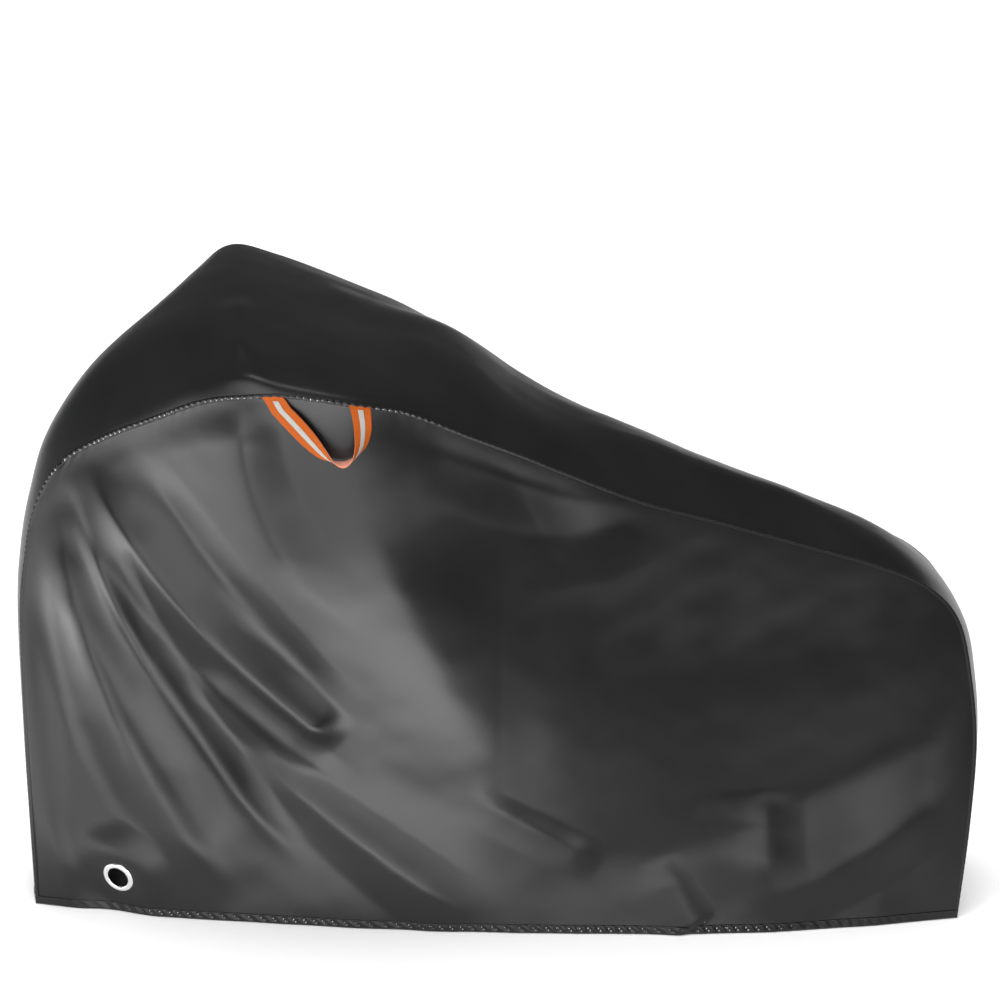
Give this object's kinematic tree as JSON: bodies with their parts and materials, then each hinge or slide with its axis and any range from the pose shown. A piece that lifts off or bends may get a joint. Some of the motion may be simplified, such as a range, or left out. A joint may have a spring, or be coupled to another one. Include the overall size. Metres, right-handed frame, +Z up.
{
  "type": "bicycle cover",
  "caption": "Fitted bicycle cover of thin coated cloth, draped and hollow, with a tall front, a low rear, a metal eyelet at its lower front corner and a webbing carrying loop.",
  "frame": {"origin": "middle of the cover's length and width, on the plane of its hem", "axes": "+X to the rear, +Y to the right-hand side of the bicycle it fits, +Z up"},
  "size_m": [1.8486, 0.6695, 1.2316],
  "materials": {
    "cloth": "black coated polyester weave, satin outside, silver-grey coating inside",
    "eyelet_metal": "polished",
    "webbing": "orange woven webbing, matte",
    "reflector": "silver-grey reflecting tape, satin"
  },
  "bodies": {
    "root": {"top_panel": "cloth", "side_panel_left": "cloth", "side_panel_right": "cloth", "eyelet_strip": "cloth", "eyelet": "eyelet_metal", "strap_webbing": "webbing", "strap_tape": "reflector"}
  },
  "joints": []
}
